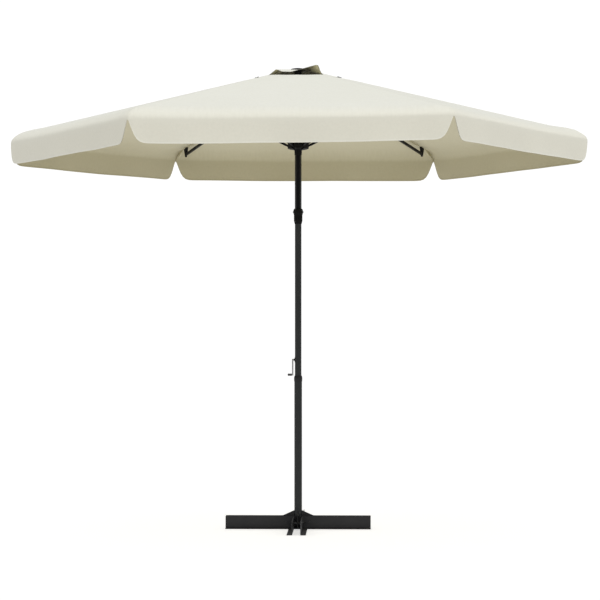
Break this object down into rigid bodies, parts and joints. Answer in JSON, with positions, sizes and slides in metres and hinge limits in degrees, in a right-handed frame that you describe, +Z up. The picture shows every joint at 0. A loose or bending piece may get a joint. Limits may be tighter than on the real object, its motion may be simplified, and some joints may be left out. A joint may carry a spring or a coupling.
{
  "type": "patio umbrella with base",
  "caption": "Hexagonal garden parasol with a pale fabric canopy, valance and wind vent, folding ribs, a crank lift on a dark two-part pole, and a steel cross base.",
  "frame": {"origin": "on the floor under the axis of the pole", "axes": "+Z up the pole, +X towards rib 1 and along the long base beam, the crank is on the -X side"},
  "size_m": [4, 3.4642, 3.1745],
  "materials": {
    "base_steel": "powder coat, satin",
    "pole_steel": "fine matte powder coat",
    "mast_steel": "fine matte powder coat",
    "sleeve_aluminium": "black anodised, glossy",
    "frame_steel": "black powder coat",
    "black_plastic": "fine moulded grain",
    "light_grey_metal": "light grey enamel",
    "zinc": "zinc plated",
    "canopy_fabric": "sand coloured woven polyester",
    "cord": "braided"
  },
  "bodies": {
    "base": {"cross_beam_angles": "base_steel", "leg_angles": "base_steel", "pole_foot": "base_steel", "base_bolts": "zinc", "bolt_spacers": "zinc", "lower_pole": "pole_steel", "pole_bushes": "black_plastic"},
    "collar": {"clamp_collar": "black_plastic"},
    "mast": {"mast_tube": "mast_steel", "top_hub": "black_plastic", "hub_pins": "zinc", "finial": "black_plastic", "pulley_pin": "zinc", "cord_inside": "cord", "lift_cord": "cord", "crank_boss": "black_plastic"},
    "pulley": {"pulley": "black_plastic"},
    "crank": {"crank_shaft": "zinc", "crank_arm": "light_grey_metal"},
    "grip": {"crank_grip": "black_plastic"},
    "runner": {"runner_hub": "black_plastic", "runner_sleeve": "sleeve_aluminium", "grip_collar": "black_plastic", "collar_bolts": "frame_steel"},
    "rib_1": {"rib_1": "frame_steel", "rib_cap_1": "black_plastic", "strut_bracket_1": "frame_steel", "canopy_panel_1": "canopy_fabric", "vent_panel_1": "canopy_fabric"},
    "strut_1": {"strut_1": "frame_steel"},
    "rib_2": {"rib_2": "frame_steel", "rib_cap_2": "black_plastic", "strut_bracket_2": "frame_steel", "canopy_panel_2": "canopy_fabric", "vent_panel_2": "canopy_fabric"},
    "strut_2": {"strut_2": "frame_steel"},
    "rib_3": {"rib_3": "frame_steel", "rib_cap_3": "black_plastic", "strut_bracket_3": "frame_steel", "canopy_panel_3": "canopy_fabric", "vent_panel_3": "canopy_fabric"},
    "strut_3": {"strut_3": "frame_steel"},
    "rib_4": {"rib_4": "frame_steel", "rib_cap_4": "black_plastic", "strut_bracket_4": "frame_steel", "canopy_panel_4": "canopy_fabric", "vent_panel_4": "canopy_fabric"},
    "strut_4": {"strut_4": "frame_steel"},
    "rib_5": {"rib_5": "frame_steel", "rib_cap_5": "black_plastic", "strut_bracket_5": "frame_steel", "canopy_panel_5": "canopy_fabric", "vent_panel_5": "canopy_fabric"},
    "strut_5": {"strut_5": "frame_steel"},
    "rib_6": {"rib_6": "frame_steel", "rib_cap_6": "black_plastic", "strut_bracket_6": "frame_steel", "canopy_panel_6": "canopy_fabric", "vent_panel_6": "canopy_fabric"},
    "strut_6": {"strut_6": "frame_steel"}
  },
  "joints": [
    {"name": "mast_turn", "type": "hinge", "parent": "base", "child": "mast", "pos_m": [0, 0, 1], "axis": [0, 0, 1], "continuous": true},
    {"name": "collar_turn", "type": "hinge", "parent": "base", "child": "collar", "pos_m": [0, 0, 1.03], "axis": [0, 0, 1], "range_deg": [0, 540]},
    {"name": "runner_slide", "type": "slide", "parent": "mast", "child": "runner", "axis": [0, 0, 1], "range_m": [-0.87131, 0], "deforming": ["lift_cord"]},
    {"name": "crank_turn", "type": "hinge", "parent": "mast", "child": "crank", "pos_m": [0, 0, 1.1635], "axis": [1, 0, 0], "range_deg": [-3600.01, 0]},
    {"name": "grip_spin", "type": "hinge", "parent": "crank", "child": "grip", "pos_m": [-0.05, 0, 1.06], "axis": [1, 0, 0], "continuous": true},
    {"name": "pulley_turn", "type": "hinge", "parent": "mast", "child": "pulley", "pos_m": [0, 0.01125, 3.036], "axis": [1, 0, 0], "range_deg": [-3503.33, 0]},
    {"name": "rib_fold_1", "type": "hinge", "parent": "mast", "child": "rib_1", "pos_m": [0.045, 0, 3.1149], "axis": [0, 1, 0], "range_deg": [0, 70.94], "deforming": ["canopy_panel_1", "vent_panel_1"]},
    {"name": "strut_fold_1", "type": "hinge", "parent": "rib_1", "child": "strut_1", "pos_m": [0.68296, 0, 2.94433], "axis": [0, 1, 0], "range_deg": [-131.9, 0]},
    {"name": "rib_fold_2", "type": "hinge", "parent": "mast", "child": "rib_2", "pos_m": [0.0225, 0.03897, 3.1149], "axis": [-0.866, 0.5, 0], "range_deg": [0, 70.94], "deforming": ["canopy_panel_2", "vent_panel_2"]},
    {"name": "strut_fold_2", "type": "hinge", "parent": "rib_2", "child": "strut_2", "pos_m": [0.34148, 0.59146, 2.94433], "axis": [-0.866, 0.5, 0], "range_deg": [-131.9, 0]},
    {"name": "rib_fold_3", "type": "hinge", "parent": "mast", "child": "rib_3", "pos_m": [-0.0225, 0.03897, 3.1149], "axis": [-0.866, -0.5, 0], "range_deg": [0, 70.94], "deforming": ["canopy_panel_3", "vent_panel_3"]},
    {"name": "strut_fold_3", "type": "hinge", "parent": "rib_3", "child": "strut_3", "pos_m": [-0.34148, 0.59146, 2.94433], "axis": [-0.866, -0.5, 0], "range_deg": [-131.9, 0]},
    {"name": "rib_fold_4", "type": "hinge", "parent": "mast", "child": "rib_4", "pos_m": [-0.045, 0, 3.1149], "axis": [0, -1, 0], "range_deg": [0, 70.94], "deforming": ["canopy_panel_4", "vent_panel_4"]},
    {"name": "strut_fold_4", "type": "hinge", "parent": "rib_4", "child": "strut_4", "pos_m": [-0.68296, 0, 2.94433], "axis": [0, -1, 0], "range_deg": [-131.9, 0]},
    {"name": "rib_fold_5", "type": "hinge", "parent": "mast", "child": "rib_5", "pos_m": [-0.0225, -0.03897, 3.1149], "axis": [0.866, -0.5, 0], "range_deg": [0, 70.94], "deforming": ["canopy_panel_5", "vent_panel_5"]},
    {"name": "strut_fold_5", "type": "hinge", "parent": "rib_5", "child": "strut_5", "pos_m": [-0.34148, -0.59146, 2.94433], "axis": [0.866, -0.5, 0], "range_deg": [-131.9, 0]},
    {"name": "rib_fold_6", "type": "hinge", "parent": "mast", "child": "rib_6", "pos_m": [0.0225, -0.03897, 3.1149], "axis": [0.866, 0.5, 0], "range_deg": [0, 70.94], "deforming": ["canopy_panel_6", "vent_panel_6"]},
    {"name": "strut_fold_6", "type": "hinge", "parent": "rib_6", "child": "strut_6", "pos_m": [0.34148, -0.59146, 2.94433], "axis": [0.866, 0.5, 0], "range_deg": [-131.9, 0]}
  ],
  "couplings": [
    {"joint": "crank_turn", "follows": "runner_slide", "rad_per_m": 72.112},
    {"joint": "pulley_turn", "follows": "runner_slide", "rad_per_m": 70.175},
    {"joint": "rib_fold_1", "follows": "runner_slide", "rad_per_m": -1.421},
    {"joint": "strut_fold_1", "follows": "runner_slide", "rad_per_m": 2.6421},
    {"joint": "rib_fold_2", "follows": "runner_slide", "rad_per_m": -1.421},
    {"joint": "strut_fold_2", "follows": "runner_slide", "rad_per_m": 2.6421},
    {"joint": "rib_fold_3", "follows": "runner_slide", "rad_per_m": -1.421},
    {"joint": "strut_fold_3", "follows": "runner_slide", "rad_per_m": 2.6421},
    {"joint": "rib_fold_4", "follows": "runner_slide", "rad_per_m": -1.421},
    {"joint": "strut_fold_4", "follows": "runner_slide", "rad_per_m": 2.6421},
    {"joint": "rib_fold_5", "follows": "runner_slide", "rad_per_m": -1.421},
    {"joint": "strut_fold_5", "follows": "runner_slide", "rad_per_m": 2.6421},
    {"joint": "rib_fold_6", "follows": "runner_slide", "rad_per_m": -1.421},
    {"joint": "strut_fold_6", "follows": "runner_slide", "rad_per_m": 2.6421}
  ]
}
